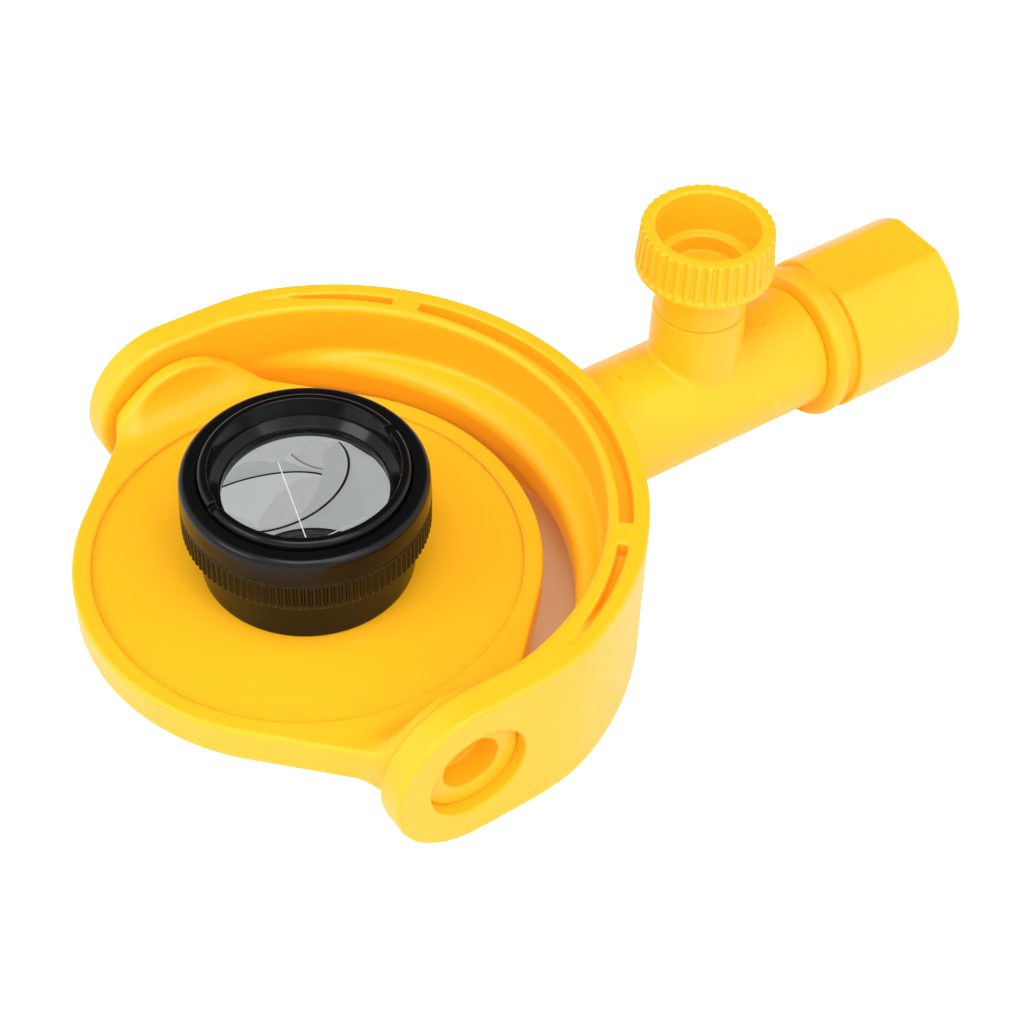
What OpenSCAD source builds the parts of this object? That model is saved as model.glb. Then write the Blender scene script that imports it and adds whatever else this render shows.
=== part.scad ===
// Tilting mini survey prism with a swivelling pole adapter.
// Frame: the origin is where the optical axis crosses the tilt axis.
// +Z runs out of the glass, +Y runs along the stem to the pole adapter, and X is the tilt axis.
// All threads are drawn as plain cylinders.

/* [Fork] */
// Radius of the fork's outer arc
fork_outer_r = 48.9; // [48.7:0.1:49.2]
// Radius of the fork's inner arc
fork_inner_r = 43.0; // [42.8:0.1:43.3]
// Half the width over the two ears
ear_x_out = 47.8; // [47.6:0.1:48.1]
// Half the gap between the two ears
ear_x_in = 42.6; // [42.5:0.1:42.8]
// Height of the fork along the optical axis
fork_h = 27.8; // [26.8:0.2:29]
// Depth of the crescent pockets in the fork's two edges
pocket_depth = 3.0; // [1:0.1:3.2]
// Half the thickness of the crescent web inside the fork
web_half = 4.3; // [3:0.1:4.5]
// Radius of the counterbore in each ear
ear_cbore_r = 8.1; // [8.0:0.1:9]

/* [Stem] */
// Outer radius of the stem tube
tube_r = 10.65; // [10.2:0.05:11.5]
// Radius of the socket in the stem tube
socket_r = 6.05; // [6.04:0.01:6.08]
// End of the stem tube from the tilt axis
tube_end = 95.6; // [95.2:0.1:95.7]
// Distance of the clamp boss from the tilt axis
boss_y = 74.1; // [73.5:0.1:74.5]
// Height of the clamp boss above the stem axis
boss_top = 19.4; // [18.5:0.1:19.4]
// Radius of the clamp boss
boss_r = 7.8; // [7.5:0.1:9]

/* [Target plate] */
// Radius of the target plate
plate_r = 36.2; // [35.8:0.05:36.5]
// Height of the plate's raised rim over the tilt axis
plate_top = 3.3; // [3.2:0.1:3.4]
// Radius of the recessed centre
recess_r = 33.2; // [32:0.1:34]
// Height of the recessed centre over the tilt axis
recess_z = 2.3; // [2.2:0.1:2.3]
// Radius of the hub disc at each ear
hub_r = 10.6; // [10:0.1:11]

/* [Prism cartridge] */
// Radius of the lower barrel
barrel_r = 16.5; // [16.3:0.1:17.5]
// Radius over the knurl of the front bezel
knurl_r = 19.1; // [19.0:0.1:19.5]
// Number of knurl teeth
knurl_n = 107; // [90:1:160]
// Height of the bezel's front face over the tilt axis
bezel_top = 20.9; // [20.6:0.1:21.3]
// Height of the retaining ring's rim over the tilt axis
ring_top = 22.1; // [21.9:0.1:22.5]
// Radius of the corner cube's round front
glass_r = 13.45; // [13.3:0.05:13.5]
// Height of the corner cube from front face to apex
glass_h = 19.8; // [19.5:0.1:19.9]
// Height of the glass front over the tilt axis
glass_front = 15.5; // [15.4:0.05:15.5]
// Turn of the corner cube's edges about the optical axis
glass_turn = 19; // [0:1:119]

/* [Clamp] */
// Radius of the knob at its top
knob_top_r = 10.75; // [10.4:0.05:11.0]
// Radius of the knob at its bottom
knob_bottom_r = 11.25; // [11.05:0.05:12]
// Height of the knob's rim above the stem axis
knob_top = 35.6; // [35:0.1:36.5]
// Number of grip ribs on the knob
rib_n = 40; // [30:1:48]
// Radius of the clamp screw
screw_r = 2.95; // [2.93:0.01:2.96]

/* [Adapter] */
// Radius of the adapter barrel
adapter_r = 13.5; // [13.2:0.05:14]
// Height of the two wrench flats from the adapter axis
flat_half = 12.5; // [12:0.1:12.7]
// End of the adapter from the tilt axis
adapter_end = 122.8; // [122.6:0.1:124]
// Radius of the stub that enters the stem socket
stub_r = 6.0; // [5.98:0.005:6.0]
// Bore radius of the pole thread insert, a 5/8 inch thread drawn plain
pole_thread_r = 7.94; // [7.94:0.01:7.94]

/* [Hidden] */
$fn = 96;

plastic = [0.98, 0.70, 0.06];
black = [0.07, 0.065, 0.06];
brass = [0.80, 0.62, 0.30];
steel = [0.66, 0.67, 0.68];
washer_grey = [0.16, 0.16, 0.17];
gasket_black = [0.10, 0.10, 0.10];
cushion_grey = [0.20, 0.20, 0.21];
clear_glass = [0.75, 0.82, 0.86, 0.5];

gap = 0.02;    // close clearance between pieces
play = 0.05;   // wider clearance between pieces
eps = 0.01;    // overlap under a chamfer
lap = 0.1;     // overlap of stacked cylinders
over = 1;      // overshoot of a cutter
far = 60;      // length that clears the piece being cut

// pivots, places along X
fork_half = fork_h / 2;
pivot_bore_r = 6.05;
cbore_x = 44.65;         // floor of the ear counterbore
hub_x = 42.0;            // outer face of the hub disc
hub_pocket_x = 40.35;    // floor of the pin pocket in the hub

// prism cartridge, heights along Z
apex_z = glass_front - glass_h;
sleeve_r = 14.1;         // part of the housing that passes through the plate
sleeve_end = -8.2;
rear_bore_r = 12.4;
rear_bore_z = -6.2;      // floor of the rear bore
seat_z = 3.0;            // floor of the glass bore
barrel_top = 11.4;
neck_r = 15.0;           // front part of the housing
ring_bore_r = 16.0;      // bore of the bezel around the retaining ring
ring_seat = 16.2;        // floor of that bore
ring_foot = ring_seat + play;

// clamp, heights along Z above the stem axis
insert_pocket_r = 5.0;
insert_pocket_z = 9.8;
shoe_top = 8.6;
tip_r = 1.4;             // thin tip of the screw
head_r = 4.6;            // hexagonal screw head
head_from = 21.6;
head_to = 24.6;

// stub and adapter, places along Y
groove_r = 4.5;          // core of the clamp groove in the stub
groove_half = 3.3;       // half its width
thread_bore_r = 10.25;   // bore of the adapter around the thread insert
thread_bore_y = 103.0;   // floor of that bore

// ---- Shared shapes: each runs along its named axis between two places ----

module cone_z(start_r, end_r, from, to, facets = $fn) {
    translate([0, 0, from]) cylinder(r1 = start_r, r2 = end_r, h = to - from, $fn = facets);
}

module cyl_z(radius, from, to, facets = $fn) {
    cone_z(radius, radius, from, to, facets);
}

module cyl_x(radius, from, to, facets = $fn) {
    rotate([0, 90, 0]) cyl_z(radius, from, to, facets);
}

module cyl_y(radius, from, to, facets = $fn) {
    rotate([-90, 0, 0]) cyl_z(radius, from, to, facets);
}

module ring_z(outer_r, inner_r, from, to) {
    difference() {
        cyl_z(outer_r, from, to);
        cyl_z(inner_r, from - over, to + over);
    }
}

// cone or cylinder with a 45 degree chamfer at its far end
module chamfered_z(start_r, end_r, from, to, chamfer) {
    cone_z(start_r, end_r, from, to - chamfer);
    cone_z(end_r, end_r - chamfer, to - chamfer - eps, to);
}

// threaded bush with a groove around its waist
module bush_z(outer_r, waist_r, bore_r, from, groove_from, groove_to, to, facets) {
    difference() {
        union() {
            cyl_z(outer_r, from, groove_from, facets);
            cyl_z(waist_r, groove_from - lap, groove_to + lap, facets);
            cyl_z(outer_r, groove_to, to, facets);
        }
        cyl_z(bore_r, from - over, to + over, facets);
    }
}

// box centred in X and Z
module slab(half_x, from_y, to_y, half_z) {
    translate([-half_x, from_y, -half_z]) cube([2 * half_x, to_y - from_y, 2 * half_z]);
}

// the children and their mirror image across the plane normal to the axis
module both(axis) {
    for (side = [0, 1]) mirror(side * axis) children();
}

// ---- Yoke ----

// block with straight flanks that ends in an arc towards +Y
module u_block(arc_r, arc_y, half_x, back_y, half_z) {
    intersection() {
        translate([0, arc_y, 0]) cyl_z(arc_r, -half_z, half_z, 180);
        slab(half_x, arc_y, far, half_z + over);
    }
    slab(half_x, back_y, arc_y, half_z);
}

// crescent between two arcs, angles measured from +Y towards +X
module crescent(outer_r, inner_r, inner_y, from_angle, to_angle, from, to) {
    centre_y = 3.4;
    sector_r = 90;
    angles = [from_angle, (from_angle + to_angle) / 2, to_angle];
    intersection() {
        difference() {
            translate([0, centre_y, 0]) cyl_z(outer_r, from, to, 180);
            translate([0, inner_y, 0]) cyl_z(inner_r, from - over, to + over, 180);
        }
        translate([0, centre_y, from]) linear_extrude(height = to - from)
            polygon([[0, 0], for (angle = angles) sector_r * [sin(angle), cos(angle)]]);
    }
}

// one middle and two side pockets in the fork's +Z edge
module pockets() {
    from = fork_half - pocket_depth;
    to = fork_half + over;
    crescent(46.65, 47.3, 0, -39.5, 39.5, from, to);
    both([1, 0, 0]) crescent(46.5, 46.76, 0.8, 45.2, 69, from, to);
}

// web left standing on the fork's inner wall
module web() {
    difference() {
        slab(45, 14, 50, web_half);
        translate([0, -6.1, 0]) cyl_z(46.5, -web_half - over, web_half + over, 180);
    }
}

// U-shaped fork with round-ended ears, inner web and pockets
module fork() {
    difference() {
        intersection() {
            u_block(fork_outer_r, 3.85, ear_x_out, -16, fork_half);
            union() {
                slab(far, 0, far, fork_half + over);
                cyl_x(fork_half, -far, far);
            }
        }
        difference() {
            u_block(fork_inner_r, 3.05, ear_x_in, -20, fork_half + over);
            web();
        }
        both([0, 0, 1]) pockets();
    }
}

module yoke() {
    tube_start = 50.2;
    socket_floor = 58.5;
    passage_r = 2.97;
    color(plastic) difference() {
        union() {
            fork();
            cyl_y(tube_r, tube_start, tube_end);
            translate([0, boss_y, 0]) cyl_z(boss_r, 0, boss_top, 64);
        }
        // pivot bores and their counterbores
        both([1, 0, 0]) {
            cyl_x(pivot_bore_r, ear_x_in - over, ear_x_out + over, 64);
            cyl_x(ear_cbore_r, cbore_x, ear_x_out + over, 64);
        }
        cyl_y(socket_r, socket_floor, tube_end + over, 64);
        // clamp passage and insert pocket
        translate([0, boss_y, 0]) {
            cyl_z(passage_r, 0, insert_pocket_z + over, 48);
            cyl_z(insert_pocket_r, insert_pocket_z, boss_top + over, 48);
        }
    }
}

// threaded bush moulded into the boss
module clamp_insert() {
    color(brass) translate([0, boss_y, 0])
        bush_z(outer_r = insert_pocket_r - gap, waist_r = 4.4, bore_r = 3.0,
               from = insert_pocket_z + play, groove_from = 12.4, groove_to = 13.8, to = 18.6,
               facets = 48);
}

// ---- Target plate and pivots ----

// disc with straight flanks that leave it at 45 degrees and run to the hubs
module plate_blank() {
    tangent = plate_r / sqrt(2);       // x and y of the point where a flank leaves the disc
    flank_y = 2 * tangent - hub_x;     // half width where the flanks reach the hub face
    cyl_z(plate_r, -plate_top, plate_top, 180);
    translate([0, 0, -plate_top]) linear_extrude(height = 2 * plate_top)
        polygon([[hub_x, flank_y], [tangent, tangent], [-tangent, tangent], [-hub_x, flank_y],
                 [-hub_x, -flank_y], [-tangent, -tangent], [tangent, -tangent],
                 [hub_x, -flank_y]]);
}

module target_plate() {
    hub_from = 39.4;
    pocket_r = 6.0;
    color(plastic) difference() {
        union() {
            plate_blank();
            both([1, 0, 0]) {
                cyl_x(hub_r, hub_from, hub_x);
                // tapering root of the hub
                rotate([0, 90, 0]) cone_z(4.2, 8.4, 35.2, hub_from + lap);
            }
        }
        both([0, 0, 1]) cyl_z(recess_r, recess_z, plate_top + over, 180);
        cyl_z(sleeve_r + 0.1, -plate_top - over, plate_top + over);
        both([1, 0, 0]) cyl_x(pocket_r, hub_pocket_x, hub_x + over, 64);
    }
}

// two cup-shaped shouldered pins, one through each ear
module pivot_pins() {
    shank_r = 5.98;
    shoulder_r = 7.9;
    hollow_r = 4.7;
    hollow_floor = 41.2;
    pin_end = 45.6;
    color(plastic) both([1, 0, 0]) difference() {
        union() {
            cyl_x(shank_r, hub_pocket_x + play, pin_end, 64);
            cyl_x(shoulder_r, cbore_x + play, pin_end, 64);
        }
        cyl_x(hollow_r, hollow_floor, pin_end + over, 64);
    }
}

// thin washers between the ears and the hubs
module friction_washers() {
    washer_r = 8.0;
    color(washer_grey) both([1, 0, 0]) difference() {
        cyl_x(washer_r, hub_x + play, ear_x_in - play, 64);
        cyl_x(pivot_bore_r, hub_x - over, ear_x_in + over, 64);
    }
}

// ---- Prism cartridge ----

// barrel that stands on the plate and passes through it
module prism_housing() {
    neck_top = 15.45;
    middle_bore_r = 11.4;
    color(black) difference() {
        union() {
            cyl_z(sleeve_r, sleeve_end, seat_z);
            cyl_z(barrel_r, recess_z + gap, barrel_top);
            cyl_z(neck_r, barrel_top - lap, neck_top);
        }
        cyl_z(glass_r + 0.1, seat_z, neck_top + over);
        cyl_z(middle_bore_r, rear_bore_z, seat_z + over);
        cyl_z(rear_bore_r, sleeve_end - over, rear_bore_z);
    }
}

// knurled front bezel screwed over the barrel
module front_bezel() {
    skirt_r = 17.6;
    skirt_from = 10.4;
    knurl_from = 10.9;
    knurl_h = 4.8;
    tooth_depth = 0.35;
    groove_r = 18.6;     // shallow groove in front of the knurl
    rim_from = 16.1;
    color(black) difference() {
        union() {
            cyl_z(skirt_r, skirt_from, knurl_from + 0.05);
            translate([0, 0, knurl_from]) linear_extrude(height = knurl_h)
                polygon([for (i = [0 : 2 * knurl_n - 1])
                    let (radius = knurl_r - (i % 2) * tooth_depth, angle = 180 * i / knurl_n)
                    radius * [cos(angle), sin(angle)]]);
            cyl_z(groove_r, knurl_from + knurl_h - lap, rim_from + lap);
            chamfered_z(19.15, 18.75, rim_from, bezel_top, 0.8);
        }
        cyl_z(barrel_r + play, skirt_from - over, barrel_top + lap);
        cyl_z(neck_r + gap, barrel_top, ring_seat + over);
        cyl_z(ring_bore_r, ring_seat, bezel_top + over);
    }
}

// inner ring that holds the glass, with two spanner slots
module retaining_ring() {
    ring_r = ring_bore_r - play;
    slot_width = 1.8;
    slot_depth = 1.6;
    slot_y = 13.2;       // inner end of each slot
    // radius and height of the opening, widening towards the front
    opening = [[0, 15], [12.65, 15], [12.65, 17.45], [12.95, 17.45],
               [14.75, 19.1], [14.75, 25], [0, 25]];
    color(black) difference() {
        chamfered_z(ring_r, ring_r, ring_foot, ring_top, 0.5);
        rotate_extrude() polygon(opening);
        both([0, 1, 0]) translate([-slot_width / 2, slot_y, ring_top - slot_depth])
            cube([slot_width, far, far]);
    }
}

// solid glass corner cube: a cube stood on its corner, cut to a round front
module prism_glass() {
    color(clear_glass) intersection() {
        cyl_z(glass_r, apex_z, glass_front);
        translate([0, 0, apex_z]) rotate([0, 0, glass_turn]) rotate([atan(sqrt(2)), 0, 0])
            rotate([0, 0, 45]) cube(40);
    }
}

// soft ring between the glass front and the retaining ring
module glass_gasket() {
    color(gasket_black) ring_z(14.9, 12.75, glass_front + gap, ring_foot - gap);
}

// radius at height z of the cone that just clears the three glass edges
function edge_cone_r(z) = sqrt(2) * (z - apex_z) + 0.06;

// elastic ring that presses the three glass edges forwards
module rear_cushion() {
    cushion_top = 4.7;
    cone_from = seat_z - over;
    cone_to = cushion_top + over;
    color(cushion_grey) difference() {
        cyl_z(glass_r + play, seat_z + gap, cushion_top);
        cone_z(edge_cone_r(cone_from), edge_cone_r(cone_to), cone_from, cone_to);
    }
}

// slotted nut on the barrel behind the plate
module lock_nut() {
    nut_r = 18.0;
    nut_end = -6.3;
    slot_floor_r = 16.4;
    slot_width = 3;
    color(black) difference() {
        ring_z(nut_r, sleeve_r + gap, nut_end, -recess_z - gap);
        for (angle = [0 : 60 : 300]) rotate([0, 0, angle])
            translate([slot_floor_r, -slot_width / 2, nut_end - over])
                cube([far, slot_width, far]);
    }
}

// cap that closes the barrel at the back
module rear_cap() {
    cap_end = -9.6;
    plug_end = -8.25;
    hole_x = 8;
    hole_r = 1.2;
    hole_floor = -8.4;
    color(black) difference() {
        union() {
            cyl_z(rear_bore_r - gap, plug_end, rear_bore_z - gap);
            cyl_z(sleeve_r, cap_end, sleeve_end - gap);
        }
        both([1, 0, 0]) translate([hole_x, 0, 0])
            cyl_z(hole_r, cap_end - over, hole_floor, 32);
    }
}

// ---- Clamp ----

// pad that the screw presses into the stub's groove
module clamp_shoe() {
    shoe_r = 2.9;
    hole_floor = 6.4;
    color(brass) translate([0, boss_y, 0]) difference() {
        cyl_z(shoe_r, groove_r + play, shoe_top, 48);
        cyl_z(tip_r + play, hole_floor, shoe_top + over, 32);
    }
}

// clamp screw with its moulded-in head
module clamp_screw() {
    tip_end = 6.6;
    color(steel) translate([0, boss_y, 0]) {
        cyl_z(tip_r, tip_end, 9, 32);
        cyl_z(screw_r, shoe_top + play, 22, 48);
        cyl_z(head_r, head_from, head_to, 6);
    }
}

// tapered knob body cut by a ring of ribs
module knob_grip(from) {
    rib_r = 12;          // beyond the taper, so the ribs keep its surface
    valley_r = 10.7;
    intersection() {
        cone_z(knob_bottom_r, knob_top_r, from, knob_top);
        translate([0, 0, from]) linear_extrude(height = knob_top - from + over)
            polygon([for (i = [0 : 4 * rib_n - 1])
                let (radius = i % 4 < 2 ? rib_r : valley_r,
                     angle = 90 * (i + (i % 2) * 0.3) / rib_n)
                radius * [cos(angle), sin(angle)]]);
    }
}

module clamp_knob() {
    collar_r = 7.55;
    flare_r = 8.6;
    flare_from = 27.4;
    flare_to = flare_from + 1;
    rim_h = 1.6;
    dish_r = 8.3;
    dish_floor = 28.2;
    well_r = 5.8;        // deeper well in the middle of the dish
    well_floor = 25.4;
    color(plastic) translate([0, boss_y, 0]) difference() {
        union() {
            cyl_z(collar_r, boss_top + play, flare_to);
            cone_z(flare_r, knob_bottom_r, flare_from, flare_to);
            knob_grip(flare_to - lap);
            cyl_z(knob_top_r - 0.1, knob_top - rim_h, knob_top);
        }
        cyl_z(dish_r, dish_floor, knob_top + over);
        cyl_z(well_r, well_floor, dish_floor + over);
        cyl_z(screw_r + 0.01, boss_top, head_from, 48);
        cyl_z(head_r + gap, head_from - gap, head_to + gap, 6);
    }
}

// ---- Pole adapter ----

// adapter with its collar, neck groove and two flats
module adapter_body() {
    collar_r = 13.4;
    collar_bevel = 0.8;
    neck_r = 12.1;
    neck_from = 98.1;
    neck_to = 100.6;
    color(plastic) difference() {
        union() {
            rotate([-90, 0, 0]) cone_z(collar_r - collar_bevel, collar_r,
                                       tube_end + play, tube_end + play + collar_bevel);
            cyl_y(collar_r, tube_end + collar_bevel, neck_from);
            cyl_y(neck_r, neck_from - lap, neck_to + lap);
            intersection() {
                rotate([-90, 0, 0]) chamfered_z(adapter_r, adapter_r, neck_to, adapter_end, 0.9);
                slab(far, tube_end, adapter_end + over, flat_half);
            }
        }
        cyl_y(stub_r, tube_end - over, thread_bore_y + over, 64);
        cyl_y(thread_bore_r, thread_bore_y, adapter_end + over, 64);
    }
}

// stub that turns in the stem socket, with the clamp groove
module adapter_stub() {
    stub_start = 59.0;
    stub_end = 102.4;
    bevel = 0.8;
    color(steel) difference() {
        union() {
            rotate([-90, 0, 0]) cone_z(5.2, stub_r, stub_start, stub_start + bevel, 64);
            cyl_y(stub_r, stub_start + bevel - eps, stub_end, 64);
        }
        translate([0, boss_y, 0]) difference() {
            cyl_y(8, -groove_half, groove_half, 64);
            cyl_y(groove_r, -groove_half - over, groove_half + over, 64);
        }
    }
}

// threaded bush in the end of the adapter
module thread_insert() {
    color(brass) rotate([-90, 0, 0])
        bush_z(outer_r = thread_bore_r - play, waist_r = 9.6, bore_r = pole_thread_r,
               from = thread_bore_y + play, groove_from = 110, groove_to = 112.9,
               to = adapter_end - 0.5, facets = 64);
}

yoke();
clamp_insert();
target_plate();
pivot_pins();
friction_washers();
prism_housing();
front_bezel();
retaining_ring();
prism_glass();
glass_gasket();
rear_cushion();
lock_nut();
rear_cap();
clamp_shoe();
clamp_screw();
clamp_knob();
adapter_body();
adapter_stub();
thread_insert();
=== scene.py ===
"""Tilting survey prism: a yellow fork with a corner-cube target, a clamp knob and a pole adapter.

Shapes are in mm. The target tilts about x through the origin and its window faces +z. The fork's
stem runs along +y to the adapter, the knob stands on the stem towards +z, and the floor lies
below at -z.
"""
import math
import bpy
import bmesh
import numpy as np
from mathutils import Vector, Matrix


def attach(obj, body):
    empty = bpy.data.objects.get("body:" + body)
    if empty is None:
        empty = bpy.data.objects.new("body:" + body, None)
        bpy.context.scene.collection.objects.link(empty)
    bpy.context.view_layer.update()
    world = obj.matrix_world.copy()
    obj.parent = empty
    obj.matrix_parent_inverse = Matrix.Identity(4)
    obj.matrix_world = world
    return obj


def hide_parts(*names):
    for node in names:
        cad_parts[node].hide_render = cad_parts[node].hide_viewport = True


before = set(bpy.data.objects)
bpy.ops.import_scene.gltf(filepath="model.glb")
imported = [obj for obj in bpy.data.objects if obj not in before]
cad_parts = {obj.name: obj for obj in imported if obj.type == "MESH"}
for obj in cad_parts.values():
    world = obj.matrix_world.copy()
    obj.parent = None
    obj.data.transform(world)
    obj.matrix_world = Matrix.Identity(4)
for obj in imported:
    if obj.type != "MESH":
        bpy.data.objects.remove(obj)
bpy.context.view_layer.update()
MM = 0.001

# Dimensions shared between pieces
KNOB_Y = 74.1          # clamp axis, parallel to z
BOSS_TOP = 19.4        # top of the boss that carries the knob
INNER_ARCH_Y = 3.05    # centre of the fork's inner arch
FLOOR_Z = -13.93


# ---------------------------------------------------------------- distance fields
# A field is negative inside its shape. The last argument of meet, join and cut is the radius
# given to the edge where the two shapes meet.
def meet(one, other, radius):
    u = np.maximum(one + radius, 0)
    v = np.maximum(other + radius, 0)
    return np.minimum(np.maximum(one, other), -radius) + np.sqrt(u * u + v * v)


def join(one, other, radius):
    u = np.maximum(radius - one, 0)
    v = np.maximum(radius - other, 0)
    return np.maximum(np.minimum(one, other), radius) - np.sqrt(u * u + v * v)


def cut(body, tool, radius):
    return meet(body, -tool, radius)


def between(value, low, high):
    return np.maximum(low - value, value - high)


def dist(a, b):
    return np.sqrt(a * a + b * b)


def unit(t):
    return np.clip(t, 0, 1)


def smooth(t):
    t = unit(t)
    return t * t * (3 - 2 * t)


# ---------------------------------------------------------------- meshes
def extract(field, low, high, step):
    """Dual mesh of field = 0 on a grid: points moved onto the surface, quads and normals."""
    slab = 24  # x layers evaluated at a time
    size = [int(math.ceil((high[d] - low[d]) / step)) + 1 for d in range(3)]
    axes = [(low[d] + step * np.arange(size[d])).astype(np.float32) for d in range(3)]
    value = np.empty(size, np.float32)
    y, z = np.meshgrid(axes[1], axes[2], indexing="ij")
    for start in range(0, size[0], slab):
        x = axes[0][start:start + slab][:, None, None] + 0 * y[None]
        value[start:start + slab] = field(x, y[None] + 0 * x, z[None] + 0 * x)

    # One point in each cell the surface crosses, at the mean of its edge crossings
    inside = value < 0
    count = np.zeros([n - 1 for n in size], np.int8)
    corners = [(i, j, k) for i in (0, 1) for j in (0, 1) for k in (0, 1)]
    for corner in corners:
        count += inside[tuple(slice(c, n - 1 + c) for c, n in zip(corner, size))]
    cells = np.nonzero((count > 0) & (count < 8))
    total = len(cells[0])
    index = np.full(count.shape, -1, np.int32)
    index[cells] = np.arange(total)
    at = {corner: value[tuple(i + c for i, c in zip(cells, corner))] for corner in corners}
    points = np.zeros((total, 3))
    crossings = np.zeros(total)
    for corner, d in [(c, d) for c in corners for d in range(3) if c[d] == 0]:
        near, far = at[corner], at[corner[:d] + (1,) + corner[d + 1:]]
        crossed = (near < 0) != (far < 0)
        point = np.zeros((total, 3)) + np.array(corner)
        point[:, d] += np.where(crossed, near / np.where(crossed, near - far, 1), 0)
        points += point * crossed[:, None]
        crossings += crossed
    points = (points / crossings[:, None] + np.stack(cells, 1)) * step + np.array(low)

    # One quad round each grid edge the surface crosses
    quads = []
    for d in range(3):
        near = np.take(inside, np.arange(size[d] - 1), axis=d)
        far = np.take(inside, np.arange(1, size[d]), axis=d)
        edges = np.array(np.nonzero(near != far))
        side, other = (d + 1) % 3, (d + 2) % 3
        inner = (edges[side] > 0) & (edges[side] < size[side] - 1)
        inner &= (edges[other] > 0) & (edges[other] < size[other] - 1)
        edges = edges[:, inner]
        leaving = near[tuple(edges)]

        def cell(back_side, back_other):
            spot = edges.copy()
            spot[side] -= back_side
            spot[other] -= back_other
            return index[tuple(spot)]

        quad = np.stack([cell(1, 1), cell(0, 1), cell(0, 0), cell(1, 0)], 1)
        quad[~leaving] = quad[~leaving][:, ::-1]
        quads.append(quad)

    def gradient(places, probe=0.02):
        slope = np.empty_like(places)
        for d in range(3):
            shift = np.zeros(3)
            shift[d] = probe
            rise = field(*(places + shift).T) - field(*(places - shift).T)
            slope[:, d] = rise / (2 * probe)
        return slope

    for _ in range(3):
        slope = gradient(points)
        steepness = np.maximum((slope * slope).sum(1), 0.05)
        move = -(field(*points.T) / steepness)[:, None] * slope
        length = np.linalg.norm(move, axis=1, keepdims=True)
        points += move * np.minimum(1, 0.6 * step / np.maximum(length, 1e-9))
    normals = gradient(points)
    normals /= np.maximum(np.linalg.norm(normals, axis=1, keepdims=True), 1e-9)
    return points, np.concatenate(quads), normals


def link_object(name, data):
    obj = bpy.data.objects.new(name, data)
    bpy.context.scene.collection.objects.link(obj)
    return obj


def mesh_object(name, points, quads, normals=None):
    me = bpy.data.meshes.new(name)
    faces, sides = quads.shape
    me.vertices.add(len(points))
    me.vertices.foreach_set("co", (points * MM).ravel().astype(np.float32))
    me.loops.add(faces * sides)
    me.loops.foreach_set("vertex_index", quads.ravel().astype(np.int32))
    me.polygons.add(faces)
    me.polygons.foreach_set("loop_start", (np.arange(faces) * sides).astype(np.int32))
    me.update(calc_edges=True)
    me.validate()
    me.polygons.foreach_set("use_smooth", np.ones(len(me.polygons), bool))
    if normals is not None:
        me.normals_split_custom_set_from_vertices([tuple(v) for v in normals.tolist()])
    return link_object(name, me)


def wrap_quads(rings, per_ring):
    """Quads of a closed grid that wraps in both directions."""
    i = np.arange(rings)[:, None]
    j = np.arange(per_ring)[None]
    here, ahead = i * per_ring, (i + 1) % rings * per_ring
    up = (j + 1) % per_ring
    grid = np.broadcast_arrays(here + j, ahead + j, ahead + up, here + up)
    return np.stack(grid, -1).reshape(-1, 4)


def lathe(name, profile, segments, radial=None):
    """Turns a closed (radius, z) profile about z; radial may vary the radius with the angle."""
    profile = np.array(profile, float)
    turn = 2 * np.pi * np.arange(segments) / segments
    radius = profile[:, 0][None] + 0 * turn[:, None]
    z = profile[:, 1][None] + 0 * turn[:, None]
    angle = turn[:, None] + 0 * radius
    if radial is not None:
        radius = radial(radius, z, angle)
    points = np.stack([radius * np.cos(angle), radius * np.sin(angle), z], -1).reshape(-1, 3)
    return mesh_object(name, points, wrap_quads(segments, len(profile)))


def rounded(outline, steps=4):
    """Closed (radius, z) profile from rows of radius, z and corner rounding."""
    corners = np.array(outline, float)[:, :2]
    profile = []
    for i, corner in enumerate(corners):
        before = corners[i - 1] - corner
        after = corners[(i + 1) % len(corners)] - corner
        before_length, after_length = np.linalg.norm(before), np.linalg.norm(after)
        before, after = before / before_length, after / after_length
        half = math.acos(float(before @ after)) / 2
        reach = min(outline[i][2] / math.tan(half), 0.45 * before_length, 0.45 * after_length)
        fillet = reach * math.tan(half)
        bisector = (before + after) / np.linalg.norm(before + after)
        centre = corner + bisector * (fillet / math.sin(half))
        start = corner + before * reach - centre
        end = corner + after * reach - centre
        first = math.atan2(start[1], start[0])
        sweep = (math.atan2(end[1], end[0]) - first + math.pi) % (2 * math.pi) - math.pi
        for k in range(steps + 1):
            angle = first + sweep * k / steps
            profile.append((centre[0] + fillet * math.cos(angle),
                            centre[1] + fillet * math.sin(angle)))
    return profile


def subdivided(profile, longest):
    """Splits segments so none is longer than longest, which keeps normals even."""
    fine = []
    for i, point in enumerate(profile):
        start, end = np.array(point), np.array(profile[(i + 1) % len(profile)])
        parts = max(1, int(math.ceil(np.linalg.norm(end - start) / longest)))
        fine += [tuple(start + (end - start) * k / parts) for k in range(parts)]
    return fine


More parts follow.
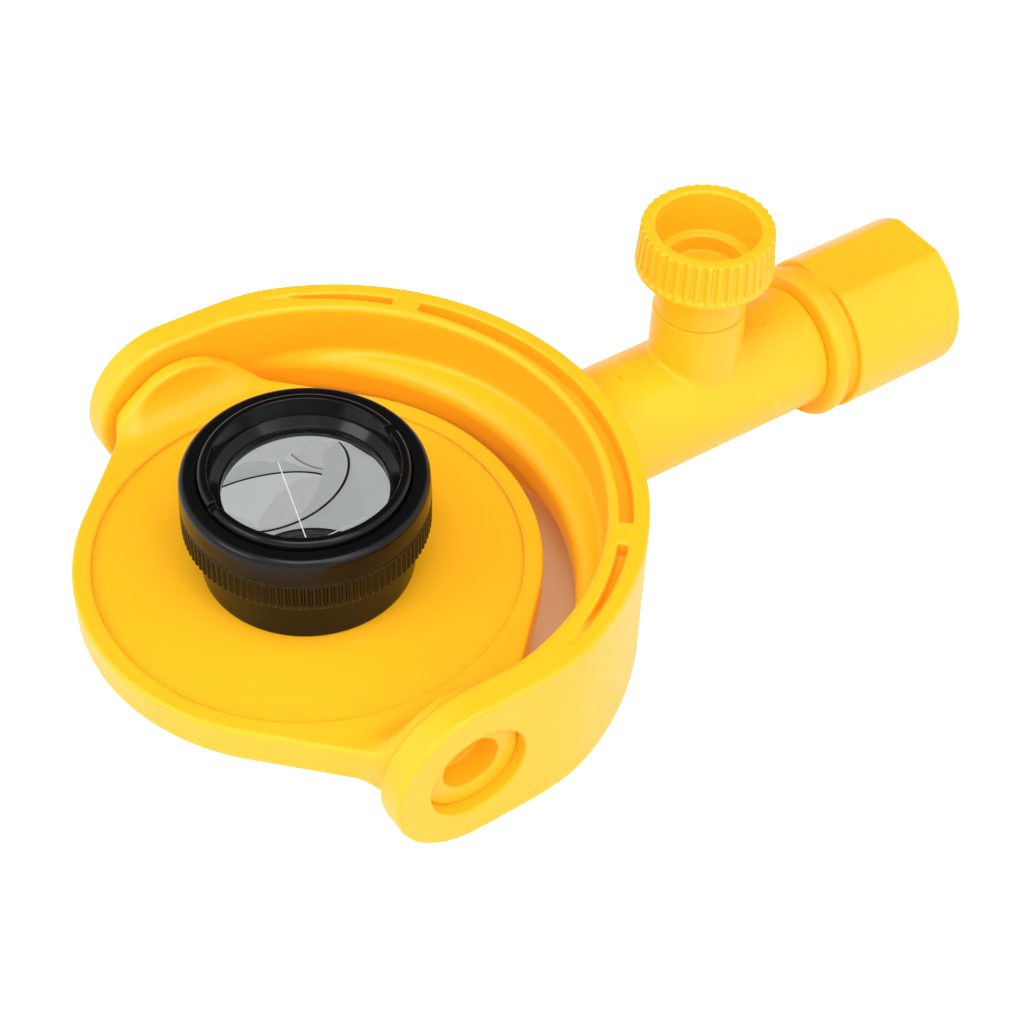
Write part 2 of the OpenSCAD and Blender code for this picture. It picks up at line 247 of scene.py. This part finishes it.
# ---------------------------------------------------------------- moulded shapes
def yoke(x, y, z):
    ax, az = np.abs(x), np.abs(z)
    half_width, arch_y, arch_radius = 47.8, 3.85, 48.9
    inner_half_width, inner_radius = 42.6, 43.0
    half_depth = 13.9

    outline = ax - half_width
    arch = meet(dist(x, y - arch_y) - arch_radius, outline, 1.5)
    outline = np.where(y > arch_y, arch, outline)
    side = np.where(y < 0, dist(y, z), az) - half_depth  # arms end in half rounds
    opening = ax - inner_half_width
    inner_arch = np.maximum(dist(x, y - INNER_ARCH_Y) - inner_radius, opening)
    opening = np.where(y > INNER_ARCH_Y, inner_arch, opening)
    body = cut(meet(outline, side, 0.6), opening, 1.0)

    # thin web inside the arch
    web = meet(46.3 - dist(x, y + 6.1), az - 4.3, 2.8)
    web = np.maximum(web, np.maximum(outline + 1.5, 12.0 - y))
    body = join(body, web, 1.1)

    # one middle and two outer pockets in both edges of the arch; the floor rises down the arms
    pocket_y = 3.4
    angle = np.degrees(np.arctan2(ax, y - pocket_y))  # from the stem
    mm_per_degree = np.pi / 180 * 46.0
    reach = dist(x, y - pocket_y)
    middle = meet(meet(47.3 - dist(x, y), reach - 46.65, 0.15),
                  (angle - 39.5) * mm_per_degree, 0.25)
    outer = meet(meet(46.76 - dist(x, y - 0.8), reach - 46.5, 0.15),
                 between(angle, 45.2, 72.0) * mm_per_degree, 0.25)
    pocket_floor = 10.9 + 2.8 * smooth((angle - 57.0) / 13.0)
    body = cut(body, meet(np.minimum(middle, outer), pocket_floor - az, 0.4), 0.35)

    # stem tube and the drafted boss under the knob
    tube_radius, tube_start, tube_end = 10.65, 49.0, 95.6
    from_stem = dist(x, z)
    tube = meet(meet(from_stem - tube_radius, y - tube_end, 0.45), tube_start - y, 0.3)
    body = join(body, tube, 1.4)
    from_knob = dist(x, y - KNOB_Y)
    boss_radius = 7.65 + 0.12 * np.clip((BOSS_TOP - z) / 9.0, 0, 1.3)
    boss = np.maximum(meet(from_knob - boss_radius, z - BOSS_TOP, 0.3), -z)
    body = join(body, boss, 0.7)

    # ejector marks: small flat discs on the tube, one on each side of the boss
    mark_offset, mark_radius, mark_z = 12.5, 2.9, 10.44
    for mark_y in (KNOB_Y - mark_offset, KNOB_Y + mark_offset):
        disc = dist(x, y - mark_y) - mark_radius
        body = cut(body, np.maximum(disc, mark_z - z), 0.08)
        body = join(body, np.maximum(meet(disc, z - mark_z, 0.06), 8.0 - z), 0.12)

    # counterbore and bore of the ears, then stem socket, boss passage and screw hole
    bore_radius = 6.05
    from_pivot = dist(y, z)
    body = cut(body, np.maximum(from_pivot - 8.1, 44.65 - ax), 0.35)
    body = cut(body, np.maximum(from_pivot - bore_radius, 41.0 - ax), 0.15)
    body = cut(body, np.maximum(from_stem - bore_radius, between(y, 58.5, 99)), 0.3)
    body = cut(body, np.maximum(from_knob - 5.0, 9.8 - z), 0.2)
    return cut(body, np.maximum(from_knob - 2.97, between(z, 0, 12)), 0.1)


def target_plate(x, y, z):
    ax, ay, az = np.abs(x), np.abs(y), np.abs(z)
    radius, half_length, half_thickness = 36.2, 42.0, 3.3
    recess_radius, recess_z = 33.2, 2.3
    from_axis = dist(x, y)
    # disc with straight flanks tangent to it at 45 degrees
    flank = (ax + ay - radius * math.sqrt(2)) / math.sqrt(2)
    outline = np.where(ax > ay, np.maximum(flank, ax - half_length), from_axis - radius)
    slab = meet(outline, az - half_thickness, 0.6)
    slab = cut(slab, meet(from_axis - recess_radius, recess_z - az, 0.35), 0.35)
    # round pads at both ends, bored for the pins
    from_pivot = dist(y, z)
    pad = meet(meet(from_pivot - 10.6, ax - half_length, 0.5), 39.4 - ax, 0.8)
    body = np.maximum(join(slab, pad, 5.2), ax - half_length)
    body = cut(body, np.maximum(from_pivot - 6.0, 40.35 - ax), 0.2)
    return cut(body, np.maximum(from_axis - 14.2, az - 9), 0.25)  # hole for the barrel


def pivot_pins(x, y, z):
    ax = np.abs(x)
    end, cup_floor = 45.6, 41.2
    from_pivot = dist(y, z)
    shank = np.maximum(from_pivot - 5.98, between(ax, 40.4, end))
    head = meet(meet(from_pivot - 8.02, ax - end, 0.25), 44.7 - ax, 0.1)
    body = np.minimum(meet(shank, ax - end, 0.1), head)
    cup_radius = 4.7 - 0.25 * unit((end - ax) / (end - cup_floor))
    return cut(body, meet(from_pivot - cup_radius, cup_floor - ax, 0.5), 0.35)


def clamp_knob(x, y, z):
    rib_count, rib_depth, rib_sharpness = 40, 0.24, 2.2
    top, cup_floor = 35.6, 28.3
    across = y - KNOB_Y
    from_axis = dist(x, across)
    # tapered head; its ribs fade out near both ends
    fade = smooth((z - 28.35) / 0.7) * smooth((35.75 - z) / 0.5)
    wave = np.cos(rib_count * np.arctan2(across, x))
    rib = np.tanh(rib_sharpness * wave) / np.tanh(rib_sharpness)
    radius = 11.25 - 0.52 * unit((z - 28.0) / 7.0) - rib_depth * fade * (1 - rib)
    head = meet(meet(from_axis - radius, z - top, 0.5), 27.5 - z, 0.5)
    neck = np.maximum(meet(from_axis - 7.5, BOSS_TOP + 0.05 - z, 0.35), z - 30)
    body = join(head, neck, 0.9)
    # two drafted steps in the top, then screw hole and hexagon
    cup_radius = 8.4 - 0.75 * unit((top - z) / (top - cup_floor))
    body = cut(body, meet(from_axis - cup_radius, cup_floor - z, 0.35), 0.45)
    deep_radius = 6.3 - 0.2 * unit((cup_floor - z) / 3)
    body = cut(body, meet(from_axis - deep_radius, 25.4 - z, 0.4), 0.5)
    body = cut(body, np.maximum(from_axis - 2.96, between(z, 19, 22)), 0.1)
    slant = 0.8660254 * x
    hexagon = np.maximum(np.abs(0.5 * across + slant), np.abs(0.5 * across - slant))
    hexagon = np.maximum(np.abs(across), hexagon) - 4.0
    return cut(body, np.maximum(hexagon, between(z, 21.58, 24.62)), 0.05)


def adapter(x, y, z):
    from_axis = dist(x, z)
    # barrel with a flat above and below, narrow neck and end collar
    barrel = meet(from_axis - 13.5, y - 122.8, 0.5)
    barrel = meet(meet(barrel, np.abs(z) - 12.5, 0.15), 100.6 - y, 0.35)
    neck = np.maximum(from_axis - 12.1, between(y, 97.5, 101.6))
    collar = meet(meet(from_axis - 13.4, y - 98.1, 0.55), 95.65 - y, 1.1)
    body = join(join(barrel, neck, 0.25), collar, 0.25)
    body = cut(body, np.maximum(from_axis - 6.0, y - 104), 0.1)
    return cut(body, np.maximum(from_axis - 10.25, 103.0 - y), 0.35)


def retaining_ring(x, y, z):
    from_axis = dist(x, y)
    body = meet(meet(from_axis - 15.95, z - 22.1, 0.85), 16.25 - z, 0.1)
    # bore: straight at the bottom, then flaring to a nearly upright wall
    upright = from_axis - 14.45 - 0.04 * (z - 22.0)
    flare = (from_axis - 13.1 - 1.1 * (z - 17.6)) * 0.67
    mouth = np.maximum(np.maximum(upright, flare), 17.45 - z)
    body = cut(body, np.minimum(mouth, from_axis - 12.66), 0.22)
    slot = np.maximum(np.maximum(np.abs(x) - 0.75, 21.1 - z), 12.8 - np.abs(y))
    return cut(body, slot, 0.2)


pieces = {}  # built object for each CAD node it replaces


def register(obj, body, node, slot):
    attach(obj, body)
    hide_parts(node)
    pieces[node] = obj


# name, field, low and high corner of the grid, grid step, body, CAD node, slot
MOULDINGS = [
    ("yoke_moulding", yoke, (-49.1, -15.2, -15.2), (49.1, 96.6, 20.6), 0.38,
     "yoke", "yoke", "yellow_plastic"),
    ("target_moulding", target_plate, (-43.3, -37.9, -12.1), (43.3, 37.9, 12.1), 0.38,
     "target", "target_plate", "yellow_plastic"),
    ("pivot_pin_set", pivot_pins, (-46.7, -8.7, -8.7), (46.7, 8.7, 8.7), 0.26,
     "target", "pivot_pins", "yellow_plastic"),
    ("knob_moulding", clamp_knob, (-12.4, 61.6, 18.6), (12.4, 86.6, 36.6), 0.2,
     "knob", "clamp_knob", "yellow_plastic"),
    ("adapter_moulding", adapter, (-14.7, 94.6, -14.7), (14.7, 123.7, 14.7), 0.32,
     "adapter", "adapter_body", "yellow_plastic"),
    ("glass_retaining_ring", retaining_ring, (-17.1, -17.1, 15.6), (17.1, 17.1, 23.4), 0.18,
     "target", "retaining_ring", "black_plastic"),
]
coarsening = 1.0
for name, field, low, high, step, *roles in MOULDINGS:
    register(mesh_object(name, *extract(field, low, high, step * coarsening)), *roles)

# ---------------------------------------------------------------- turned parts
# Outline rows: radius, z, corner rounding
BARREL = [
    (14.1, -8.2, 0.25), (14.1, 2.32, 0.1), (16.5, 2.32, 0.25), (16.5, 11.4, 0.2),
    (15.0, 11.4, 0.1), (15.0, 15.45, 0.2), (13.55, 15.45, 0.2), (13.55, 3.0, 0.1),
    (11.4, 3.0, 0.2), (11.4, -6.2, 0.1), (12.4, -6.2, 0.1), (12.4, -8.2, 0.2),
]
BEZEL = [
    (16.6, 10.4, 0.1), (18.2, 10.4, 0.3), (18.62, 10.95, 0.2), (18.97, 11.25, 0.3),
    (18.97, 16.15, 0.25), (18.78, 16.4, 0.2), (18.93, 16.75, 0.25), (18.72, 20.9, 1.15),
    (16.1, 20.9, 0.25), (16.1, 16.2, 0.1), (15.05, 16.2, 0.1), (15.05, 11.45, 0.1),
    (16.6, 11.45, 0.1),
]
GASKET = [(12.76, 15.53, 0.25), (14.88, 15.53, 0.25), (14.88, 16.22, 0.25), (12.76, 16.22, 0.25)]
KNURL_TEETH = 107


def knurl(radius, z, angle):
    """Teeth on the outer wall of the bezel, running out at both ends of the band."""
    depth, low, high, run_out, sharpness = 0.19, 10.95, 16.2, 0.35, 1.1
    band = unit((z - low) / run_out) * unit((high - z) / run_out) * (radius > 18.1)
    wave = np.tanh(sharpness * np.cos(KNURL_TEETH * angle)) / np.tanh(sharpness)
    return radius - depth * band * (1 - wave)


register(lathe("barrel", subdivided(rounded(BARREL), 0.8), 256),
         "target", "prism_housing", "black_plastic")
register(lathe("bezel", subdivided(rounded(BEZEL), 0.4), KNURL_TEETH * 12, radial=knurl),
         "target", "front_bezel", "black_plastic")
register(lathe("gasket_ring", rounded(GASKET), 192), "target", "glass_gasket", "rubber")


def pole_thread():
    """Brass bush along y: a threaded bore and a waisted outside."""
    segments, rows = 180, 260
    start, end = 103.05, 122.3
    pitch = 25.4 / 11
    margin = 0.6  # bore rows stop this far from both ends
    root_radius, thread_depth = 7.94, 1.15
    turn = 2 * np.pi * np.arange(segments) / segments
    row_y = start + margin + (end - start - 2 * margin) * np.linspace(0, 1, rows)
    angle, y = np.meshgrid(turn, row_y, indexing="ij")
    phase = (y - start) / pitch - angle / (2 * np.pi)
    ridge = np.abs((phase % 1.0) * 2 - 1)
    run_out = smooth((y - start - 0.8) / 1.0) * smooth((end - 1.0 - y) / 1.6)
    bore_radius = root_radius - thread_depth * unit(1.25 * ridge - 0.12) * run_out
    # outside, from the far end back to the start: radius, y
    outside = np.array([
        (8.5, end - 0.15), (8.9, end), (10.0, end), (10.18, end - 0.2),
        (10.2, 117.0), (10.2, 112.9), (9.6, 112.7), (9.6, 110.2), (10.2, 110.0),
        (10.2, start + 0.2), (10.0, start), (8.9, start), (8.5, start + 0.15),
    ])

    def around_y(radius, y, angle):
        radius, y, angle = np.broadcast_arrays(radius, y, angle)
        return np.stack([radius * np.sin(angle), y, radius * np.cos(angle)], -1)

    grid = np.concatenate([around_y(bore_radius, y, angle),
                           around_y(outside[:, 0], outside[:, 1], turn[:, None])], 1)
    quads = wrap_quads(segments, grid.shape[1])[:, [0, 3, 2, 1]]
    return mesh_object("pole_thread_bush", grid.reshape(-1, 3), quads)


register(pole_thread(), "adapter", "thread_insert", "brass")


# ---------------------------------------------------------------- corner cube
def corner_cube():
    """Round bar ending below in three silvered faces that meet at right angles."""
    radius, window_z, height = 13.45, 15.5, 19.8
    chamfer, bevel, seat_radius = 0.11, 0.18, 13.08
    turn = math.radians(169)  # direction of the first cube edge
    per_face = 128
    window, rim, silvered, seat, painted_highlight_edge, shaded_edge = range(6)  # material indices

    apex = window_z - height
    inset = math.asin(chamfer * math.sqrt(0.5) / radius)
    edges = [turn + 2 * math.pi * k / 3 for k in range(3)]
    angles, lower_z = [], []
    for edge in edges:
        middle = edge + math.pi / 3
        for i in range(per_face):
            angle = edge + inset + (2 * math.pi / 3 - 2 * inset) * i / (per_face - 1)
            angles.append(angle)
            lower_z.append(apex + math.sqrt(2) * radius * math.cos(angle - middle))
    n = len(angles)
    points = []
    for ring_radius, heights in [(seat_radius, [window_z] * n), (radius - bevel, [window_z] * n),
                                 (radius, [window_z - bevel] * n), (radius, lower_z)]:
        points += [(ring_radius * math.cos(angle), ring_radius * math.sin(angle), z)
                   for angle, z in zip(angles, heights)]
    along = [np.array([math.cos(edge) * math.sqrt(2 / 3), math.sin(edge) * math.sqrt(2 / 3),
                       math.sqrt(1 / 3)]) for edge in edges]
    for k in range(3):
        tip = np.array([0, 0, apex]) + chamfer * (along[k] + along[(k + 1) % 3])
        points.append(tuple(tip))

    faces = [(window, tuple(range(n)))]
    for i in range(n):
        j = (i + 1) % n
        for ring, material in enumerate((seat, seat, rim)):
            here, below = ring * n, (ring + 1) * n
            faces.append((material, (here + i, below + i, below + j, here + j)))
    for k in range(3):
        first = 3 * n + k * per_face
        last = 3 * n + (k * per_face - 1) % n  # end of the face before
        faces.append((silvered, (4 * n + k, *range(first, first + per_face))))
        # painted highlight on the first cube edge's chamfer, painted shade on the other two edges
        # and the apex
        faces.append((painted_highlight_edge if k == 0 else shaded_edge,
                      (first, 4 * n + k, 4 * n + (k - 1) % 3, last)))
    faces.append((shaded_edge, (4 * n, 4 * n + 1, 4 * n + 2)))

    me = bpy.data.meshes.new("corner_cube")
    me.from_pydata([tuple(float(c) * MM for c in p) for p in points], [], [f for _, f in faces])
    bm = bmesh.new()
    bm.from_mesh(me)
    bmesh.ops.recalc_face_normals(bm, faces=bm.faces[:])
    bm.to_mesh(me)
    bm.free()
    for polygon, (material, _) in zip(me.polygons, faces):
        polygon.material_index = material
    return link_object("corner_cube", me)


register(corner_cube(), "target", "prism_glass", "prism_glass")


# ---------------------------------------------------------------- node helpers
def feed(tree, node, inputs):
    """Links each input that is given a socket and sets the others."""
    for key, value in inputs.items():
        if isinstance(value, bpy.types.NodeSocket):
            tree.links.new(value, node.inputs[key])
        else:
            node.inputs[key].default_value = value


def add_node(tree, kind, inputs={}, **settings):
    node = tree.nodes.new("ShaderNode" + kind)
    for key, value in settings.items():
        setattr(node, key, value)
    feed(tree, node, inputs)
    return node


def new_material(name):
    material = bpy.data.materials.new(name)
    material.use_nodes = True
    tree = material.node_tree
    return material, tree, tree.nodes["Principled BSDF"]


def noise(tree, scale, detail):
    node = add_node(tree, "TexNoise", {"Scale": scale, "Detail": detail, "Roughness": 0.5})
    feed(tree, node, {"Vector": add_node(tree, "TexCoord").outputs["Object"]})
    return node.outputs["Fac"]


def ramp(tree, source, stops):
    """Two-stop ramp; stops maps each position to a grey level or a colour."""
    node = add_node(tree, "ValToRGB", {"Fac": source})
    for element, (position, value) in zip(node.color_ramp.elements, stops.items()):
        colour = (value,) * 3 if isinstance(value, float) else value
        element.position = position
        element.color = (*colour, 1)
    return node.outputs["Color"]


def bump(tree, height, strength, distance, inputs={}):
    node = add_node(tree, "Bump", {"Strength": strength, "Distance": distance,
                                   "Height": height, **inputs})
    return node.outputs["Normal"]


def maths(tree, operation, *values):
    node = add_node(tree, "Math", dict(enumerate(values)), operation=operation)
    return node.outputs["Value"]


def scaled(colour, factor):
    return tuple(v * factor for v in colour)


# ---------------------------------------------------------------- materials
def yellow_plastic():
    material, tree, shader = new_material("yellow_moulded_plastic")
    tint = noise(tree, scale=45, detail=2)
    gloss = noise(tree, scale=260, detail=4)
    grain = bump(tree, noise(tree, scale=900, detail=3), strength=0.02, distance=0.00004)
    feed(tree, shader, {
        "Base Color": ramp(tree, tint, {0.3: (0.94, 0.452, 0.012), 0.7: (0.95, 0.460, 0.015)}),
        "Roughness": ramp(tree, gloss, {0.3: 0.27, 0.72: 0.34}),
        "IOR": 1.46,
        "Specular Tint": (1.0, 0.86, 0.66, 1),
        "Subsurface Weight": 0.10,
        "Subsurface Radius": (0.0020, 0.0010, 0.0002),
        "Subsurface Scale": 1.0,
        # painted light: a faint yellow glow lifts the shaded faces, pockets and recesses of the
        # plastic
        "Emission Color": (1.0, 0.46, 0.004, 1),
        "Emission Strength": 0.075,
        "Normal": bump(tree, noise(tree, scale=22, detail=2), strength=0.04, distance=0.0003,
                       inputs={"Normal": grain}),
    })
    return material


def black_plastic(name, base, smoothest, roughest, ior):
    material, tree, shader = new_material(name)
    tint = noise(tree, scale=80, detail=3)
    gloss = noise(tree, scale=420, detail=4)
    grain = noise(tree, scale=1400, detail=3)
    feed(tree, shader, {
        "Base Color": ramp(tree, tint, {0.3: base, 0.75: scaled(base, 1.5)}),
        "Roughness": ramp(tree, gloss, {0.3: smoothest, 0.75: roughest}),
        "Normal": bump(tree, grain, strength=0.08, distance=0.00004),
        "IOR": ior,
    })
    return material


def metal(name, base, rough):
    material, tree, shader = new_material(name)
    tint = noise(tree, scale=60, detail=3)
    grain = noise(tree, scale=600, detail=4)
    feed(tree, shader, {
        "Metallic": 1,
        "Base Color": ramp(tree, tint, {0.3: scaled(base, 0.88), 0.7: base}),
        "Roughness": ramp(tree, grain, {0.3: rough * 0.75, 0.7: rough * 1.3}),
        "Normal": bump(tree, grain, strength=0.1, distance=0.00004),
    })
    return material


def matte(name, base, rough):
    material, tree, shader = new_material(name)
    tint = noise(tree, scale=150, detail=4)
    grain = noise(tree, scale=900, detail=3)
    feed(tree, shader, {
        "Base Color": ramp(tree, tint, {0.3: base, 0.7: scaled(base, 1.5)}),
        "Roughness": rough,
        "Normal": bump(tree, grain, strength=0.15, distance=0.00005),
    })
    return material


def lit_glass(name, base, glow, rough, scale):
    """Frosted glass seen from inside: pale, and lifted by a painted glow that stands in for light
    soaking through it.
    """
    material, tree, shader = new_material(name)
    frost = noise(tree, scale=scale, detail=3)
    feed(tree, shader, {
        "Base Color": ramp(tree, frost, {0.3: scaled(base, 0.95), 0.8: base}),
        "Roughness": rough,
        # painted light: the frosted glass glows as if lit through
        "Emission Color": ramp(tree, frost, {0.3: scaled(glow, 0.97), 0.8: glow}),
        "Emission Strength": 1.0,
    })
    return material


def deep_glow(tree, shader, inside):
    """Light still in the cube after four reflections is painted in as a flat grey glow of its
    mean brightness.
    """
    depth = add_node(tree, "LightPath").outputs["Glossy Depth"]
    glow = maths(tree, "GREATER_THAN", depth, 3.5)
    if inside:  # only from within the glass, and away from square-on
        geometry = add_node(tree, "NewGeometry").outputs
        facing = add_node(tree, "VectorMath", {0: geometry["Normal"], 1: geometry["Incoming"]},
                          operation="DOT_PRODUCT").outputs["Value"]
        oblique = maths(tree, "LESS_THAN", maths(tree, "ABSOLUTE", facing), 0.75)
        glow = maths(tree, "MULTIPLY", glow, oblique)
        glow = maths(tree, "MULTIPLY", glow, geometry["Backfacing"])
    feed(tree, shader, {"Emission Color": (0.275, 0.276, 0.270, 1), "Emission Strength": glow})


def optical_glass():
    material, tree, shader = new_material("optical_glass")
    deep_glow(tree, shader, inside=True)
    haze = noise(tree, scale=300, detail=3)
    feed(tree, shader, {
        "Base Color": (0.99, 0.995, 0.995, 1),
        "Transmission Weight": 1.0,
        "IOR": 1.517,
        "Roughness": ramp(tree, haze, {0.4: 0.0, 0.9: 0.006}),
    })
    return material


def silvered_face():
    material, tree, shader = new_material("silvered_face")
    deep_glow(tree, shader, inside=False)
    tint = noise(tree, scale=30, detail=3)
    feed(tree, shader, {
        "Metallic": 1,
        "Base Color": ramp(tree, tint, {0.35: (0.93, 0.94, 0.94), 0.7: (0.95, 0.96, 0.958)}),
        "Roughness": 0.0,
    })
    return material


yellow = yellow_plastic()
black = black_plastic("black_anodised", base=(0.0030, 0.0027, 0.0026),
                      smoothest=0.20, roughest=0.28, ior=1.33)
polished = black_plastic("black_polished", base=(0.0030, 0.0028, 0.0027),
                         smoothest=0.10, roughest=0.16, ior=1.31)
brass = metal("brass_turned", base=(0.80, 0.58, 0.25), rough=0.25)
steel = metal("steel_turned", base=(0.62, 0.62, 0.63), rough=0.28)
rubber = matte("black_rubber", base=(0.02, 0.02, 0.02), rough=0.7)
washer = matte("washer_plastic", base=(0.06, 0.06, 0.065), rough=0.5)
# in the order of the corner cube's material indices
cube_materials = [
    optical_glass(),
    # painted light: the rim glows; the first edge chamfer below carries a painted highlight and
    # the shaded copy painted shade, both glowing
    lit_glass("ground_glass_rim", base=(0.27, 0.280, 0.282), glow=(0.345, 0.355, 0.352),
              rough=0.6, scale=500),
    silvered_face(),
    matte("blackened_seat", base=(0.006, 0.006, 0.006), rough=0.8),
    lit_glass("edge_chamfer", base=(0.5, 0.5, 0.5), glow=(0.62, 0.62, 0.61),
              rough=0.5, scale=900),
    lit_glass("edge_chamfer_shaded", base=(0.3, 0.3, 0.3), glow=(0.39, 0.40, 0.40),
              rough=0.5, scale=900),
]
for material in cube_materials:
    pieces["prism_glass"].data.materials.append(material)

BUILT_MATERIALS = {
    "yoke": yellow, "target_plate": yellow, "pivot_pins": yellow, "clamp_knob": yellow,
    "adapter_body": yellow, "retaining_ring": polished, "prism_housing": black,
    "front_bezel": black, "glass_gasket": rubber, "thread_insert": brass,
}
for node, material in BUILT_MATERIALS.items():
    pieces[node].data.materials.clear()
    pieces[node].data.materials.append(material)

CAD_MATERIALS = {
    "clamp_insert": brass, "friction_washers": washer, "rear_cushion": rubber,
    "lock_nut": black, "rear_cap": black, "clamp_shoe": brass, "clamp_screw": steel,
    "adapter_stub": steel,
}
for node, material in CAD_MATERIALS.items():
    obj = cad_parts[node]
    if len(obj.data.materials) == 0:
        obj.data.materials.append(material)
    else:
        for slot in obj.material_slots:
            slot.material = material


# ---------------------------------------------------------------- floor
def floor_material():
    """White sheet, clear from below; inside the fork it carries painted shade, a darker warm
    tint, and a faint painted orange glow for light bounced off the plastic.
    """
    material, tree, shader = new_material("floor_white")
    camera_ray = add_node(tree, "LightPath").outputs["Is Camera Ray"]
    position = add_node(tree, "NewGeometry").outputs["Position"]

    def fade(value, start, end):
        node = add_node(tree, "MapRange", interpolation_type="SMOOTHSTEP",
                        inputs={"From Min": start, "From Max": end, "Value": value})
        return node.outputs["Result"]

    arch_centre = (0, INNER_ARCH_Y * MM, FLOOR_Z * MM)
    away = add_node(tree, "VectorMath", {0: position, 1: arch_centre}, operation="DISTANCE")
    split = add_node(tree, "SeparateXYZ", {0: position})
    zone = maths(tree, "MULTIPLY", fade(away.outputs["Value"], start=0.0465, end=0.0425),
                 fade(split.outputs["Y"], start=-0.012, end=0.002))

    def blend(outside, inside):
        node = add_node(tree, "Mix", data_type="RGBA",
                        inputs={"Factor": zone, 6: (*outside, 1), 7: (*inside, 1)})
        return node.outputs[2]

    # painted shade and bounce light inside the fork: a darker, warmer base and a faint orange
    # glow
    base = blend(outside=(0.90, 0.90, 0.90), inside=(0.80, 0.74, 0.46))
    glow = blend(outside=(1, 1, 1), inside=(1.0, 0.05, 0.0))
    # the camera sees the sheet as clean white outside the fork
    outside_glow = maths(tree, "MULTIPLY", maths(tree, "MULTIPLY", camera_ray, 1.15),
                         maths(tree, "SUBTRACT", 1.0, zone))
    painted_bounce_glow = maths(tree, "MULTIPLY", zone, 0.08)
    feed(tree, shader, {
        "Base Color": base,
        "Roughness": 0.9,
        "Specular IOR Level": 0.1,
        "Emission Color": glow,
        "Emission Strength": maths(tree, "ADD", outside_glow, painted_bounce_glow),
    })
    below = add_node(tree, "NewGeometry").outputs["Backfacing"]
    clear = add_node(tree, "BsdfTransparent").outputs["BSDF"]
    mix = add_node(tree, "MixShader", {"Fac": below, 1: shader.outputs["BSDF"], 2: clear})
    feed(tree, tree.nodes["Material Output"], {"Surface": mix.outputs["Shader"]})
    return material


half_side = 1.6  # metres
me = bpy.data.meshes.new("floor")
me.from_pydata([(half_side * x, half_side * y, FLOOR_Z * MM)
                for x, y in ((-1, -1), (1, -1), (1, 1), (-1, 1))], [], [(0, 1, 2, 3)])
floor = link_object("floor", me)
floor.data.materials.append(floor_material())


# ---------------------------------------------------------------- world
def studio_world():
    """Pale surround that darkens in one direction; even grey when seen through the glass."""
    world = bpy.data.worlds.new("studio")
    bpy.context.scene.world = world
    world.use_nodes = True
    tree = world.node_tree
    dark_direction = (-0.559, 0.404, 0.7236)
    view = add_node(tree, "TexCoord").outputs["Generated"]
    toward = add_node(tree, "VectorMath", {0: view, 1: dark_direction}, operation="DOT_PRODUCT")
    surround = ramp(tree, toward.outputs["Value"],
                    {0.62: (1.0, 1.02, 1.04), 0.90: (0.05, 0.052, 0.055)})
    through_glass = add_node(tree, "LightPath").outputs["Transmission Depth"]
    mix = add_node(tree, "Mix", data_type="RGBA", blend_type="LIGHTEN", clamp_factor=True,
                   inputs={"Factor": through_glass, 6: surround, 7: (0.50, 0.51, 0.505, 1)})
    feed(tree, tree.nodes["Background"], {"Color": mix.outputs[2], "Strength": 1.09})


studio_world()

# ---------------------------------------------------------------- camera and lamps
AZIMUTH, ELEVATION, ROLL = (math.radians(v) for v in (54.085, 46.42, 2.453))
CAMERA_DISTANCE = 0.3607  # metres
LOOK_AT = Vector((6.09, 33.91, -1.68)) * MM
back = Vector((math.sin(AZIMUTH) * math.cos(ELEVATION),
               -math.cos(AZIMUTH) * math.cos(ELEVATION), math.sin(ELEVATION)))
right = Vector((math.cos(AZIMUTH), math.sin(AZIMUTH), 0))
up = back.cross(right)


def lamp(name, azimuth, elevation, distance, size, power, color=(1, 1, 1)):
    """Area lamp aimed at LOOK_AT; azimuth is in degrees to the right of the camera."""
    azimuth, elevation = math.radians(azimuth), math.radians(elevation)
    level_back = Vector((back.x, back.y, 0)).normalized()
    level = level_back * math.cos(azimuth) + right * math.sin(azimuth)
    location = (LOOK_AT + level * (math.cos(elevation) * distance)
                + Vector((0, 0, math.sin(elevation) * distance)))
    light = bpy.data.lights.new(name, "AREA")
    light.shape = "RECTANGLE"
    light.size, light.size_y = size
    light.energy = power
    light.color = color
    obj = link_object(name, light)
    obj.location = location
    aim = (LOOK_AT - location).normalized()
    obj.rotation_euler = aim.to_track_quat("-Z", "Y").to_euler()


lamp("key", azimuth=42, elevation=40, distance=0.95, size=(0.44, 0.32), power=1.25,
     color=(1, 0.995, 0.98))
lamp("top", azimuth=10, elevation=74, distance=0.95, size=(0.60, 0.60), power=4.1)
lamp("fill", azimuth=-60, elevation=37, distance=1.0, size=(0.44, 0.32), power=2.0,
     color=(0.98, 0.99, 1))

camera_data = bpy.data.cameras.new("cam")
camera = link_object("cam", camera_data)
camera_data.sensor_width = 36
camera_data.sensor_fit = "HORIZONTAL"
camera_data.lens = 79.0723828
camera_data.clip_start = 0.01
camera_data.clip_end = 20
rolled_right = right * math.cos(ROLL) + up * math.sin(ROLL)
rolled_up = -right * math.sin(ROLL) + up * math.cos(ROLL)
columns = (rolled_right, rolled_up, back, LOOK_AT + back * CAMERA_DISTANCE)
camera.matrix_world = Matrix([[column[i] for column in columns] for i in range(3)]
                             + [[0, 0, 0, 1]])
scene = bpy.context.scene
scene.camera = camera
scene.view_settings.view_transform = "Standard"
scene.view_settings.look = "None"
